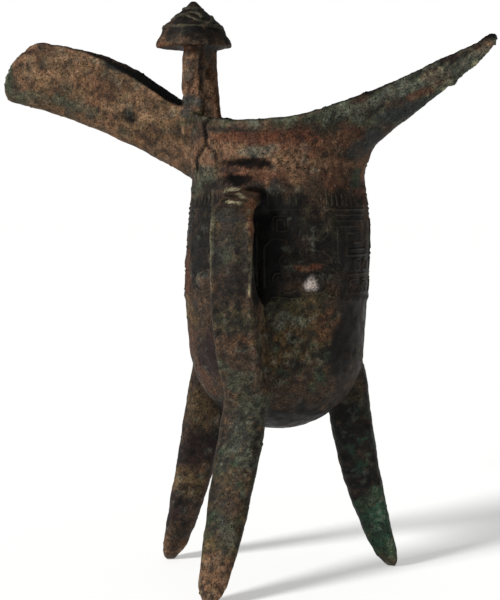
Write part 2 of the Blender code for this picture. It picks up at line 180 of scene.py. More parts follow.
# The mean of each vertex's neighbours.
def neighbourMiddle(values, edges):
    a, b = edges[:, 0], edges[:, 1]
    count = len(values)
    share = np.maximum(np.bincount(a, minlength=count) + np.bincount(b, minlength=count), 1)
    columns = values.reshape(count, -1)
    middle = np.empty_like(columns)
    for k in range(columns.shape[1]):
        middle[:, k] = np.bincount(a, columns[b, k], count) + np.bincount(b, columns[a, k], count)
    return (middle / share[:, None]).reshape(values.shape)


# Smooths a mesh without shrinking it, by a push and a pull.
def relax(points, edges, rounds, push=0.5, pull=-0.52, weight=None):
    for i in range(rounds * 2):
        step = (push if i % 2 == 0 else pull) * (neighbourMiddle(points, edges) - points)
        points = points + (step if weight is None else step * weight[:, None])
    return points


# The object's evaluated shape as a plain mesh object at the origin.
def meshFrom(obj, name):
    bpy.context.view_layer.update()
    mesh = bpy.data.meshes.new_from_object(obj.evaluated_get(bpy.context.evaluated_depsgraph_get()))
    mesh.name = name
    return addObject(name, mesh)


def triangleCount(mesh):
    return sum(len(p.vertices) - 2 for p in mesh.polygons)


# Tones of the patina, as dry buried bronze shows them; the darkest and palest are also laid as painted
# shade and highlight.
tones = {name: np.array(toLinear(colour)) for name, colour in {
    "tan": "6a4f3c",
    "tanPale": "8c6e54",
    "redBrown": "573526",
    "orange": "583c29",
    "ochre": "594932",
    "olive": "3b3727",
    "greyGreen": "41463a",
    "paleGreen": "62655a",
    "malachite": "233b2c",
    "slate": "262928",
    # the dark skin of the patina, also laid as painted shade
    "darkSkin": "0e0d0c",
    "black": "020202",
    "purpleBrown": "1e1312",
    "brown": "382c22",
    # the pale tone of wear, also laid as painted highlight on the strap's top
    "worn": "a89e80",
    # a pale grey for the painted highlight on the eye's boss
    "bossHighlight": "8d8480",
}.items()}

# Patches of patina, a few of them painted shade and highlight: middle and half size in mm, tone,
# and how strongly it covers.
patches = [
    # spout
    ((-62, 0, 158), (42, 24, 32), "tan", 1.0),
    ((-74, -8, 165), (15, 10, 6), "tanPale", 0.55),
    ((-60, -9, 158), (9, 8, 5), "redBrown", 0.45),
    ((-50, -9, 152), (11, 8, 5), "tanPale", 0.4),
    ((-40, -10, 143), (12, 8, 4), "redBrown", 0.5),
    ((-92, 0, 168), (4.5, 20, 9), "slate", 0.75),
    ((-91, -6, 158.5), (7, 9, 5.5), "slate", 0.6),
    ((-86, -6, 156.4), (9, 9, 3), "greyGreen", 0.8),
    ((-76, -6, 154.3), (9, 8, 3), "darkSkin", 0.6),
    ((-66, -7, 151), (9, 8, 2.4), "darkSkin", 0.45),
    ((-38, -8, 141), (17, 13, 13), "olive", 0.3),
    ((-60, -8, 155), (40, 14, 20), "ochre", 0.3),
    ((-47.8, -9, 150.2), (3.0, 5, 3.2), "black", 1.0),
    # post and cap
    ((-26, -8, 161), (5, 5, 13), "tan", 0.9),
    ((-27.5, -8, 163), (0.7, 5, 7), "darkSkin", 0.7),
    # painted shade in the slit between the post's two prongs
    ((-23.6, -9, 165), (0.7, 5, 6), "darkSkin", 0.8),
    ((-22, 3, 161), (6, 9, 15), "olive", 0.9),
    ((-22, 6, 161), (7, 9, 15), "tan", 0.95),
    ((-27, -9, 151), (3.5, 4, 3.0), "slate", 0.9),
    ((-28.6, 0, 182), (22, 22, 12), "darkSkin", 1.0),
    ((-28.6, 0, 172.2), (22, 22, 2.0), "brown", 0.9),
    ((-33, -7, 171.8), (9, 8, 1.4), "redBrown", 0.7),
    # lip and upper wall
    ((2, 0, 136), (39, 39, 9.5), "tan", 0.9),
    ((5, -24, 142), (24, 9, 2.2), "redBrown", 0.75),
    ((14, -22, 140), (10, 9, 5), "redBrown", 0.6),
    ((0, -24, 131), (13, 9, 3), "redBrown", 0.5),
    ((1.4, -25, 137.8), (8, 6, 1.8), "paleGreen", 0.5),
    ((10, -24, 134.5), (6, 6, 1.4), "tanPale", 0.5),
    ((-4.5, -24.4, 134.6), (6.5, 3.9, 1.3), "black", 0.9),
    ((4.5, -25.4, 133.6), (5.5, 3.9, 1.1), "black", 0.8),
    ((-8, -23.6, 132), (6, 3.9, 1.4), "purpleBrown", 0.8),
    ((-8, -23, 129), (7, 3.9, 1.8), "black", 0.85),
    ((-17, -20, 127.5), (7, 5, 3.2), "darkSkin", 0.85),
    ((24, -16, 131), (5, 8, 7), "redBrown", 0.5),
    ((27, -12, 137), (5, 8, 6), "darkSkin", 0.6),
    ((-20, -18, 131), (9, 8, 3.5), "greyGreen", 0.8),
    ((5, 0, 148.8), (32, 40, 5.0), "olive", 1.0),
    ((10, 0, 149.2), (30, 40, 4.4), "greyGreen", 0.8),
    # tail
    ((48, 0, 159), (28, 18, 20), "greyGreen", 0.95),
    ((33, -5.4, 139), (5, 9, 6), "slate", 0.9),
    ((46, -3, 150.5), (14, 8, 4), "slate", 0.95),
    ((28, -10, 143), (5, 7, 4.5), "redBrown", 0.5),
    ((40, -8.1, 153.2), (8, 6, 3), "brown", 0.8),
    ((40, -7, 157.5), (7, 5, 2.6), "paleGreen", 0.5),
    ((53, -4, 161), (6, 4, 2.5), "redBrown", 0.6),
    ((59, -4, 165), (5, 4, 3), "purpleBrown", 0.7),
    ((65, -2, 169), (6, 5, 3), "tan", 0.5),
    ((71, 0, 174), (3, 4, 3), "slate", 0.85),
    # band round the cup
    ((4, 0, 109), (46, 46, 18.5), "darkSkin", 1.0),
    ((-23, -14, 124), (7, 9, 4), "greyGreen", 0.6),
    ((28, -3, 128), (4, 8, 6), "redBrown", 0.45),
    ((-31, -5, 104), (3.5, 12, 15), "brown", 0.9),
    ((-27, -12, 99), (3.5, 9, 9), "redBrown", 0.45),
    ((-21, -17, 112), (6, 7, 13), "darkSkin", 0.8),
    ((27, -10.5, 95), (5, 6, 5), "redBrown", 0.45),
    ((14, -21, 92), (11, 6, 5), "olive", 0.8),
    # painted highlight on the eye's boss, in a pale grey
    ((17.2, -20.9, 97.8), (2.6, 4, 2.6), "bossHighlight", 1.0),
    ((16.5, -21, 101.8), (5.0, 5, 1.1), "redBrown", 0.9),
    # painted shadow that the strap casts on the cup's wall, to its right
    ((2.5, -25.5, 113), (9.5, 3.9, 19), "black", 1.0),
    ((3.5, -25.5, 96), (5, 3.9, 12), "black", 1.0),
    # lower body
    ((10, -23, 81), (18, 10, 13), "ochre", 0.9),
    ((8, -24, 88), (11, 8, 6), "olive", 0.8),
    ((10, -24, 84), (8, 8, 5), "paleGreen", 0.4),
    ((21, -16, 84), (5, 6, 5), "redBrown", 0.5),
    ((20, -16, 68.5), (2.4, 5, 2.4), "malachite", 0.6),
    ((21, -15.6, 75.5), (2.2, 5, 2.2), "malachite", 0.5),
    # painted shade on the body's right side, away from the light
    ((25.5, -12, 79), (6, 8, 9), "darkSkin", 0.9),
    ((29, -3, 86), (5, 11, 16), "darkSkin", 0.8),
    ((25, -8, 70), (6, 9, 8), "darkSkin", 0.6),
    ((-24, -14, 86), (8, 8, 7), "ochre", 0.6),
    ((-24, -10, 77), (8, 9, 7), "redBrown", 0.3),
    # painted shade under the bowl, between the legs
    ((0, 0, 48), (34, 30, 11), "purpleBrown", 1.0),
    ((0, 0, 49), (36, 32, 13), "darkSkin", 1.0),
    # strap
    ((-2.5, -41, 103), (10, 6, 26), "brown", 1.0),
    ((-2.5, -41, 112), (9, 6, 14), "olive", 0.7),
    ((-2.5, -41, 102), (9, 8, 26), "darkSkin", 0.6),
    ((-4, -41.5, 107), (4, 4, 6), "greyGreen", 0.5),
    ((-9, -38, 119), (4, 8, 8), "olive", 0.8),
    ((-4, -38, 120), (6, 8, 4), "darkSkin", 0.7),
    ((3.4, -37.5, 122), (2.2, 6, 5.5), "orange", 0.8),
    ((4.4, -40.0, 112), (1.1, 3, 8), "redBrown", 0.8),
    # pale streaks of painted highlight on the strap's top, in the worn tone
    ((-5.6, -33.6, 126.0), (2.4, 2.4, 0.5), "worn", 1.0),
    ((-1.6, -35.6, 125.2), (2.6, 2.6, 0.45), "worn", 1.0),
    ((-3.2, -37.4, 123.5), (2.0, 2.2, 0.45), "worn", 0.9),
    ((-0.2, -38.4, 122.4), (1.6, 2.0, 0.4), "worn", 0.7),
    ((4.2, -40.9, 101), (0.7, 1.6, 10), "worn", 0.45),
    # painted shade in the gap between the strap and the wall
    ((4.8, -35.5, 101), (1.5, 5.0, 15), "black", 0.9),
    ((-3, -37, 88), (8, 8, 7), "olive", 0.6),
    ((-1, -34.5, 80), (7, 6, 2.6), "orange", 0.45),
    ((-3, -31, 71), (8, 6, 5), "greyGreen", 0.6),
    # painted shade in the recess left of the near leg, under the body
    ((-14.4, -21, 72.3), (5, 7, 11), "purpleBrown", 0.95),
    ((-19.5, -14, 65), (4, 7, 8), "redBrown", 0.35),
    # near leg
    ((-6, -38, 28), (13, 15, 36), "olive", 1.0),
    ((-6, -38, 34), (11, 14, 40), "darkSkin", 0.3),
    ((-6, -37, 34), (8, 12, 16), "brown", 0.6),
    ((0.5, -30, 57), (8, 8, 9), "greyGreen", 0.7),
    ((-1, -33, 47), (7, 7, 8), "greyGreen", 0.8),
    ((-9, -29, 53), (3.5, 7, 8), "brown", 0.7),
    ((-4, -35, 37), (6, 7, 5), "ochre", 0.5),
    ((-8.4, -37.5, 25.5), (5, 6, 3.0), "malachite", 0.45),
    ((-3, -38, 22), (3.5, 5, 4), "paleGreen", 0.35),
    ((-0.8, -36, 31), (3, 4, 3), "orange", 0.2),
    ((3.5, -33, 40), (2.5, 6, 20), "darkSkin", 0.7),
    ((-4, -36, 44), (12, 14, 26), "brown", 0.25),
    ((-6, -43, 9), (11, 11, 12), "ochre", 0.6),
    ((-6, -44, 8), (9, 9, 11), "tan", 0.75),
    # leg under the spout
    ((-34, 3, 33), (15, 15, 38), "brown", 0.95),
    ((-27.5, -3, 56), (7, 8, 7), "ochre", 0.55),
    ((-28, -2, 41), (10, 10, 6), "purpleBrown", 1.0),
    ((-33, -2.7, 30), (8, 8, 6), "ochre", 0.7),
    ((-36.5, -1, 17), (8, 9, 7), "purpleBrown", 0.85),
    ((-38, 1, 4), (7, 7, 5), "tan", 0.6),
    # leg under the tail
    ((29, 13, 36), (15, 15, 40), "darkSkin", 1.0),
    ((34, 15, 13), (10, 12, 15), "malachite", 0.95),
    ((28, 12, 32), (10, 12, 5), "black", 0.9),
    ((24, 5, 59), (7, 9, 5), "olive", 0.6),
    ((36, 18, 2), (7, 7, 4), "olive", 0.7),
]

# Smaller mottling: tone, size in mm, seed, where it starts and is full, strength, and the
# middle and half size of its area, where it isn't all over.
mottling = [
    # all over
    ("darkSkin", 8.0, 84, 0.1, 0.6, 0.4),
    ("redBrown", 5.0, 85, 0.3, 0.6, 0.12),
    ("paleGreen", 3.0, 81, 0.45, 0.7, 0.25),
    ("darkSkin", 2.2, 82, 0.28, 0.6, 0.6),
    ("tanPale", 2.0, 83, 0.4, 0.7, 0.18),
    # wall under the lip
    ("darkSkin", 1.6, 86, 0.2, 0.5, 0.75, (18, -18, 136), (16, 12, 9)),
    # spout
    ("darkSkin", 2.0, 87, 0.2, 0.5, 0.6, (-60, 0, 158), (38, 22, 20)),
    ("greyGreen", 5.0, 107, 0.15, 0.6, 0.35, (-60, 0, 156), (44, 22, 24)),
    # top of the near leg
    ("paleGreen", 1.6, 88, 0.25, 0.6, 0.5, (-1, -32, 50), (10, 12, 18)),
    ("black", 1.3, 105, 0.15, 0.45, 0.6, (-2, -34, 48), (12, 14, 22)),
    # lower body and near leg
    ("black", 1.5, 106, 0.15, 0.45, 0.5, (10, -22, 78), (20, 12, 18)),
    ("malachite", 3.0, 89, 0.3, 0.6, 0.4, (-4, -36, 40), (14, 14, 30)),
    ("paleGreen", 2.2, 90, 0.2, 0.55, 0.45, (10, -22, 80), (18, 12, 16)),
    ("malachite", 2.4, 91, 0.35, 0.6, 0.4, (16, -20, 72), (14, 12, 14)),
    ("darkSkin", 3.0, 92, 0.0, 0.4, 0.75, (18, -20, 78), (18, 14, 16)),
    # leg under the tail
    ("malachite", 2.6, 93, 0.15, 0.5, 0.5, (28, 11, 44), (12, 14, 14)),
    ("paleGreen", 1.4, 103, 0.3, 0.6, 0.35, (34, 15, 14), (9, 11, 14)),
    # tail
    ("worn", 1.6, 94, 0.3, 0.62, 0.45, (50, 0, 163), (26, 16, 9)),
    ("darkSkin", 2.4, 95, 0.15, 0.45, 0.75, (52, 0, 163), (26, 16, 10)),
    # either side of the band
    ("redBrown", 3.0, 96, 0.2, 0.5, 0.3, (-26, -8, 90), (10, 14, 22)),
    ("olive", 4.0, 97, 0.1, 0.5, 0.35, (20, -16, 112), (18, 16, 16)),
    ("brown", 2.6, 98, 0.3, 0.6, 0.4, (22, -14, 106), (16, 16, 20)),
    # lip
    ("paleGreen", 1.5, 102, 0.1, 0.5, 0.6, (6, 0, 148.5), (32, 38, 5)),
    # leg under the spout
    ("darkSkin", 2.4, 99, 0.15, 0.45, 0.7, (-34, 0, 30), (14, 14, 34)),
    # strap, near leg and its foot
    ("darkSkin", 1.8, 100, 0.05, 0.4, 0.75, (-2, -40, 96), (12, 12, 36)),
    ("darkSkin", 1.5, 104, 0.1, 0.45, 0.7, (-4, -36, 40), (12, 14, 40)),
    ("darkSkin", 1.4, 101, 0.2, 0.5, 0.8, (-5, -42, 8), (12, 12, 12)),
]


# Strokes of tone on the near side, over the mottling, a few of them painted shade: a line along the near
# face and up, in mm, its half width, tone and strength. The painted shadow behind the strap ends with
# the nearest that the surface may stand.
strokes = [
    # tail
    ([(12.9, 151.6), (23.9, 155.2), (33.3, 159.2), (43.9, 164.1), (55.2, 169.4), (66.2, 173.8)],
     1.3, "black", 0.85),
    ([(36.0, 159.0), (50.0, 165.4), (62.0, 171.0)], 1.5, "darkSkin", 0.65),
    ([(20.0, 149.5), (33.0, 154.6), (44.0, 158.6), (55.0, 163.4), (64.0, 168.6)], 1.6, "paleGreen", 0.35),
    ([(27.5, 148.7), (31.8, 152.3)], 0.9, "black", 0.7),
    ([(32.5, 147.3), (44.6, 152.2)], 2.8, "slate", 0.7),
    ([(24.0, 137.5), (30.0, 142.0)], 3.2, "slate", 0.75),
    ([(24.5, 131.5), (24.5, 128.0)], 1.5, "malachite", 0.6),
    ([(41.0, 154.6), (48.0, 157.6)], 1.3, "redBrown", 0.5),
    ([(50.0, 165.4), (57.0, 168.6)], 1.5, "purpleBrown", 0.6),
    # lip
    ([(-16.3, 148.3), (-5.1, 147.8), (6.7, 149.2), (12.9, 151.6)], 0.6, "darkSkin", 0.7),
    # painted shadow under the lip's lower edge
    ([(-21.5, 144.6), (-9.7, 144.1)], 0.6, "darkSkin", 0.8),
    ([(-9.7, 144.1), (8.0, 144.4), (25.0, 145.4)], 0.5, "darkSkin", 0.4),
    # spout
    # painted shade of the spout's dark inside, laid along the top of its near wall
    ([(-55.2, 167.0), (-45.9, 163.3), (-36.9, 158.0), (-31.0, 154.1)], 1.5, "black", 0.97),
    ([(-73.7, 155.9), (-60.4, 151.7)], 1.6, "greyGreen", 0.5),
    ([(-90.5, 166.3), (-92.5, 158.2)], 2.4, "malachite", 0.45),
    # post
    # painted shade in the slit between the post's two prongs
    ([(-24.7, 169.6), (-25.4, 163.1), (-25.0, 155.0)], 0.55, "black", 0.85),
    ([(-28.5, 168.0), (-27.3, 161.8), (-28.9, 157.0)], 0.45, "black", 0.7),
    ([(-29.5, 155.0), (-25.5, 153.5)], 1.8, "slate", 0.8),
    # gap behind the strap: painted shadow of the strap on the cup's wall
    ([(-3.0, 121.0), (-3.2, 112.0), (-3.2, 102.0), (-4.4, 95.0)], 4.6, "black", 0.95, -29),
    # strap's edges
    ([(-20.8, 125.4), (-20.8, 94.6)], 0.3, "worn", 0.1),
    ([(-8.65, 111.0), (-8.65, 96.0)], 0.3, "worn", 0.15),
    # strap's top: pale streaks of painted highlight, in the worn tone
    ([(-16.8, 125.9), (-12.4, 126.2)], 0.45, "worn", 0.55),
    ([(-15.6, 122.9), (-11.0, 122.4)], 0.35, "worn", 0.4),
    ([(-12.6, 125.0), (-10.4, 123.9)], 0.35, "worn", 0.5),
    ([(-16.5, 124.5), (-12.5, 124.2)], 0.5, "darkSkin", 0.7),
    # right of the body: painted shade on the side away from the light
    ([(22.0, 92.0), (21.5, 80.0), (18.5, 70.0)], 3.2, "darkSkin", 0.6),
    ([(19.0, 122.0), (21.5, 108.0), (22.0, 97.0)], 4.0, "darkSkin", 0.6),
]


# Along the near face, as the handle is seen, and up, in mm.
def onNearFace(local):
    turn = math.radians(handleTurn)
    return np.stack([local[:, 0] * math.cos(turn) + local[:, 1] * math.sin(turn), local[:, 2]], 1)


# How far each vertex stands out of its neighbours (+) or lies between them (-), in mm.
def edgeShape(points, edges, normals):
    middle = points
    for i in range(3):
        middle = neighbourMiddle(middle, edges)
    stand = np.einsum("ij,ij->i", points - middle, normals) / mm
    for i in range(2):
        stand = 0.5 * stand + 0.5 * neighbourMiddle(stand, edges)
    return stand


# The inside, roughly, in mm. A keel is how far out it starts, its height there and its slope.
insideLook = {
    "halfLength": 29.0,
    "halfWidth": 24.8,
    "slack": 1.03,
    "widened": 1.15,
    "bowlTop": 75,
    "bowlDepth": 23,
    "postSide": -15,
    "tops": (149.5, 153),  # of the cup, by the post and elsewhere
    "spoutKeel": (29.5, 129.6, 0.39),
    "tailKeel": (30, 137, 0.9),
    "aboveKeel": 13,  # the line that a channel curves round
    "spoutStart": -29,
    "tailStart": 27,
    "pastPost": -43,
    "underCap": 160,
}

# Rims, in mm: the lowest, where the cap begins, and the far edge of the spout.
rimLook = {
    "lowest": 138,
    "capLowest": 158,
    "topDark": 0.8,
    "spoutStart": -31,
    "spoutLowest": 142,
}


def keelHeight(out, keel):
    start, height, slope = keel
    return height + (out - start) * slope


# 1 on the inside of the cup, the spout and the tail, 0 on the outside: where shade is painted in.
def insideShare(local, normals):
    x, y, z = local.T
    look = insideLook
    inBowl = np.minimum(z - look["bowlTop"], 0)
    away = np.stack([x, y * look["widened"], inBowl], 1)
    oval = (x / look["halfLength"])**2 + (y / look["halfWidth"])**2
    inCup = oval < look["slack"] - (inBowl / look["bowlDepth"])**2
    inCup &= z < np.where(x < look["postSide"], *look["tops"])
    cup = softStep(-np.einsum("ij,ij->i", away, normals), -1.0, 3.0) * inCup
    keel = np.where(x < 0, keelHeight(-x, look["spoutKeel"]), keelHeight(x, look["tailKeel"]))
    fromLine = np.stack([np.zeros(len(x)), y, z - keel - look["aboveKeel"]], 1)
    facing = np.einsum("ij,ij->i", fromLine, normals)
    inSpout = (x < look["spoutStart"]) & ((z < look["underCap"]) | (x < look["pastPost"]))
    inChannel = (inSpout | (x > look["tailStart"])) & (z > keel)
    return np.maximum(cup, softStep(-facing, 0.0, 2.0) * inChannel)


# Rim tops, which are darkened, and the far wall of the spout seen over the near rim, painted black as shade.
def rimsAndSpoutShade(local, normals):
    x, y, z = local.T
    up = normals[:, 2]
    onCap = np.hypot(x - capLook["across"], y) < capLook["reach"]
    top = softStep(up, 0.45, 0.85) * (z > rimLook["lowest"]) * ~(onCap & (z > rimLook["capLowest"]))
    farEdge = (x < rimLook["spoutStart"]) * softStep(y, 1, 5) * softStep(up, -0.1, 0.4)
    farEdge = farEdge * (z > rimLook["spoutLowest"]) * ~onCap
    return np.maximum(rimLook["topDark"] * top, farEdge)


# How the patina is laid. A warp is its noise's size, first seed, octaves and reach, in mm.
patinaLook = {
    "warps": ((12, 41, 4, 3.4), (3.4, 44, 3, 1.5)),
    "raggedSize": 4.4,
    "raggedSeed": 60,
    "raggedKinds": 5,
    "ragged": 0.34,
    "smallPatch": 4,  # a patch thinner than this keeps closer to its place
    "smallRagged": 0.16,
    "smallWarp": 0.35,
    "strokeRagged": 0.35,
    "strokeWarp": 0.12,
    "rimsAndShadeDark": 0.9,
    "insideShadeDark": 0.93,
    "damageSpread": 1.35,
    "damageDark": 0.9,
    "boss": (17.4, -20.8, 97.6),  # the eye's worn boss keeps its sheen
    "bossReach": (2.6, 4.0),
    "edgesPaler": 0.55,
    "foldsDarker": 0.5,
    "reliefTone": 0.5,  # of the worn tone
}


def layTone(colour, tone, share):
    colour += (tones[tone] - colour) * share[:, None]


def layPatches(colour, local, warp, ragged):
    look = patinaLook
    for i, (at, size, tone, strength) in enumerate(patches):
        small = min(size) < look["smallPatch"]
        moved = local + (look["smallWarp"] if small else 1.0) * warp
        far = farFrom(moved, at, size)
        edge = (look["smallRagged"] if small else look["ragged"]) * ragged[i % len(ragged)]
        mask = softStep(1 - far + edge, -0.05, 0.3) * strength
        mask *= 0.72 + 0.28 * softStep(ragged[(i + 2) % len(ragged)], -0.6, 0.2)
        layTone(colour, tone, mask)


# The mottling. Its warm tones hold back where the patina is already dark.
def layMottling(colour, local, warp):
    dark = 1 - softStep(colour.mean(1), 0.008, 0.03)
    for tone, size, seed, low, high, amount, *area in mottling:
        mask = softStep(cloud(local, size, seed, 4), low, high) * amount
        if tone in ("redBrown", "tanPale", "brown"):
            mask *= 1 - 0.6 * dark
        if area:
            far = farFrom(local + warp, *area)
            mask *= 1 - softStep(far, 0.6, 1.05)
        layTone(colour, tone, mask)


def layStrokes(colour, local, normals, warp, ragged):
    onFace = onNearFace(local) + patinaLook["strokeWarp"] * warp[:, [0, 2]]
    facing = softStep(-normals[:, 1], -0.35, 0.1)
    for i, (line, width, tone, strength, *nearest) in enumerate(strokes):
        away = distanceToPath(onFace, line) / width + patinaLook["strokeRagged"] * ragged[i % len(ragged)]
        mask = (1 - softStep(away, 0.6, 1.25)) * strength * facing
        if nearest:
            mask *= local[:, 1] > nearest[0]
        layTone(colour, tone, mask)


# Stores the patina on each vertex, with painted shade and highlights laid in: its colour, and how
# crusted it is. The vessel itself gets pale edges and dark folds, and relief is made paler all over.
def paintPatinaAndLight(obj, paler=0.0):
    look = patinaLook
    mesh = obj.data
    points = readMesh(mesh)
    local = fromAxis(points)
    normals = readNormals(mesh)
    warp = sum(np.stack([cloud(local, size, seed + i, octaves) for i in range(3)], 1) * reach
               for size, seed, octaves, reach in look["warps"])
    ragged = [cloud(local, look["raggedSize"], look["raggedSeed"] + i, 5) for i in range(look["raggedKinds"])]
    colour = np.tile(tones["brown"], (len(local), 1))
    layPatches(colour, local, warp, ragged)
    layMottling(colour, local, warp)
    layStrokes(colour, local, normals, warp, ragged)
    rimsAndShade = rimsAndSpoutShade(local, normals)
    inner = insideShare(local, normals)
    # Rim tops darkened, and the spout's far wall painted black as shade.
    layTone(colour, "black", rimsAndShade * look["rimsAndShadeDark"])
    # The inside painted near black: painted shade.
    layTone(colour, "black", inner * look["insideShadeDark"])
    deep = np.maximum(damage(local, normals, look["damageSpread"]), 0)
    layTone(colour, "black", look["damageDark"] * softStep(deep, 0.18, 0.6))
    crust = softStep(colour.mean(1), 0.008, 0.05)
    for share in (softStep(deep, 0.05, 0.2), inner, rimsAndShade):
        crust = np.maximum(crust, share)
    boss = farFrom(local, look["boss"])
    crust *= softStep(local[:, 2], 1.0, 3.0) * softStep(boss, *look["bossReach"])
    if paler == 0.0:
        stand = edgeShape(points, readEdges(mesh), normals)
        edges = look["edgesPaler"] * softStep(stand, 0.04, 0.22)
        colour *= (1 + edges - look["foldsDarker"] * softStep(-stand, 0.03, 0.2))[:, None]
    else:
        colour += (tones["worn"] * look["reliefTone"] - colour) * paler
    stored = mesh.color_attributes.new("patinaAndPaintedLight", "FLOAT_COLOR", "POINT")
    flat = np.concatenate([colour, np.ones((len(points), 1))], 1).astype(np.float32)
    stored.data.foreach_set("color", flat.ravel())
    stored = mesh.attributes.new("crust", "FLOAT", "POINT")
    stored.data.foreach_set("value", crust.astype(np.float32))


def patinatedBronze():
    # Cast tin bronze, long buried: a dull mineral crust over a dark skin that keeps a low sheen.
    material = bpy.data.materials.new("patinatedBronze")
    material.use_nodes = True
    tree = material.node_tree
    shader = tree.nodes["Principled BSDF"]
    where = addNode(tree, "ShaderNodeTexCoord").outputs["Object"]
    painted = addNode(tree, "ShaderNodeAttribute", {"attribute_name": "patinaAndPaintedLight"}).outputs["Color"]
    crust = addNode(tree, "ShaderNodeAttribute", {"attribute_name": "crust"}).outputs["Fac"]

    def noiseOf(sizeMm, detail=4.0, roughness=0.6):
        return addNode(tree, "ShaderNodeTexNoise", None,
                       {"Scale": 1 / (sizeMm * mm), "Detail": detail, "Roughness": roughness,
                        "Vector": where}).outputs[0]

    def ramp(source, low, high, bottom, top):
        return addNode(tree, "ShaderNodeMapRange", {"interpolation_type": "SMOOTHSTEP"},
                       {"From Min": low, "From Max": high, "To Min": bottom, "To Max": top,
                        "Value": source}).outputs[0]

    def mixed(first, second, share, blend="MIX"):
        return addNode(tree, "ShaderNodeMix", {"data_type": "RGBA", "blend_type": blend},
                       {0: share, 6: first, 7: second}).outputs[2]

    grit = noiseOf(0.55, 3.0, 0.6)  # mineral grains, large enough to show
    grains = mixed(painted, ramp(grit, 0.3, 0.7, 0.45, 1.55), 1.0, "MULTIPLY")
    coarse = mixed(grains, ramp(noiseOf(1.7), 0.3, 0.7, 0.65, 1.35), 1.0, "MULTIPLY")
    warm = mixed(coarse, (1.08, 0.99, 0.92, 1), ramp(noiseOf(2.4), 0.5, 0.66, 0.0, 0.8), "MULTIPLY")
    cool = mixed(warm, (0.92, 1.03, 0.96, 1), ramp(noiseOf(3.1), 0.5, 0.66, 0.0, 0.8), "MULTIPLY")
    pit = ramp(noiseOf(0.8, 2.0), 0.62, 0.70, 0.0, 0.9)
    pitted = mixed(cool, (*toLinear("0a0908"), 1), pit)
    tree.links.new(pitted, shader.inputs["Base Color"])
    smooth = ramp(noiseOf(3.6), 0.35, 0.65, 0.46, 0.62)
    rough = addNode(tree, "ShaderNodeMapRange", None, {"To Max": 0.9, "Value": crust, "To Min": smooth})
    tree.links.new(rough.outputs[0], shader.inputs["Roughness"])
    shader.inputs["Metallic"].default_value = 0.15
    shader.inputs["Specular IOR Level"].default_value = 0.14
    height = calculate(tree, "SUBTRACT", grit, pit)
    bump = addNode(tree, "ShaderNodeBump", None, {"Strength": 0.7, "Distance": 0.18 * mm, "Height": height})
    tree.links.new(bump.outputs[0], shader.inputs["Normal"])
    return material


# The vessel: the CAD solid with a casting's soft corners, its damage and its crust.
vesselLook = {
    "voxel": 0.87 * mm,  # mesh size of the whole casting
    "softening": 6,  # rounds of smoothing that take off the voxel steps
    "lumpSize": 6.0,  # mm
    "lumpHeight": 0.20,
    "crustSize": 2.0,
    "crustHeight": 0.13,
    "bandMiddle": 108.0,
    "bandCalm": 0.55,  # how much less crusted the band is
    "tailRough": 0.1,  # how much more crusted the tail is
    "soleHeight": 0.45,  # below this the feet stay flat
    "tipBlunted": (64.0, 71.5),  # where the tail's tip is drawn in, from the axis
    "tipDrawnIn": (1.3, 0.0, 0.6),
}

# Corners that a casting fills in: middle, reach in mm, and rounds of smoothing.
filletPlaces = [
    ((-2.5, -27.0, 60.0), 14.0, 26),
    ((-2.5, -27.0, 84.0), 9.0, 10),
    ((-2.5, -26.0, 123.0), 6.0, 10),
    ((3.0, -31.0, 125.5), 12.0, 46),
    ((-8.0, -31.0, 125.5), 11.0, 34),
    ((-2.5, -39.0, 121.0), 9.0, 20),
    ((-28.0, 3.5, 74.0), 12.0, 26),
    ((24.0, 14.0, 74.0), 12.0, 26),
    ((-24.0, -13.0, 138.0), 7.0, 5),
    ((-24.0, 13.0, 138.0), 7.0, 5),
    ((-25.2, -10.5, 149.0), 5.0, 12),
    ((-25.2, 10.5, 149.0), 5.0, 12),
]

# The cap's whorl: curved ridges between a ring at the step and one below the point.
capLook = {
    "across": -28.6,
    "step": (178.0, 9.0),  # height and radius of the ring at the step
    "point": 187.0,
    "topRing": 0.68,  # share of the way from the step to the point
    "firstTurn": -162.0,  # degrees
    "arms": 3,
    "reach": 13.0,  # of the cap, from its middle
    "paler": 0.16,
    "radius": 0.85 * mm,  # of the ridges
    "pointWidth": 2.4,  # smoothing blunts the point, so it is drawn up again
    "pointHeight": 0.8,
}

# The feet: roughly where they stand, and how their toes are drawn in towards the sole.
feet = {
    "places": [(-5.0, -44.0), (-39.0, 1.0), (37.0, 18.0)],
    "reach": 13.0,
    "height": 5.0,
    "drawnIn": 0.42,  # share of the way to the sole's middle, at the ground
}

# Damage: hollows by their middle, half size and depth, in mm. A negative depth stands proud.
hollows = [
    ((-1.6, -24.2, 134.2), (10.5, 6.0, 1.8), 0.7),
    ((-6.8, -23.6, 129.3), (5.2, 6.0, 2.0), 0.8),
    ((15.8, -20.4, 136.0), (0.9, 4.0, 0.9), 0.6),
    ((13.2, -21.5, 133.0), (0.7, 4.0, 0.7), 0.5),
    ((-47.8, -9.6, 150.2), (2.2, 4.0, 2.4), 0.25),
    ((57.4, -1.0, 158.6), (1.9, 3.5, 1.8), -0.9),
    ((70.0, -1.0, 173.0), (5.5, 5.0, 4.2), -0.8),
    ((-29.0, -8.0, 162.0), (5.0, 7.0, 14.0), -0.9),
    ((-21.6, -9.6, 153.5), (3.0, 4.0, 6.0), -1.3),
    ((9.5, -26.5, 127.5), (6.5, 5.0, 3.6), -1.6),
]

# The crack that runs down from the post's foot on the near side, and its branch: how far
# along the near face (turned as the handle is seen) and how high, in mm.
crack = {
    "lines": [
        [(-17.8, 149.8), (-21.0, 148.7), (-22.9, 146.4), (-23.4, 144.1), (-22.4, 141.8), (-22.7, 140.0),
         (-20.1, 137.7), (-19.5, 134.9)],
        [(-22.7, 140.0), (-24.7, 137.2), (-25.9, 135.4), (-25.6, 132.2)],
    ],
    "width": 0.62,
    "depth": 0.75,
}


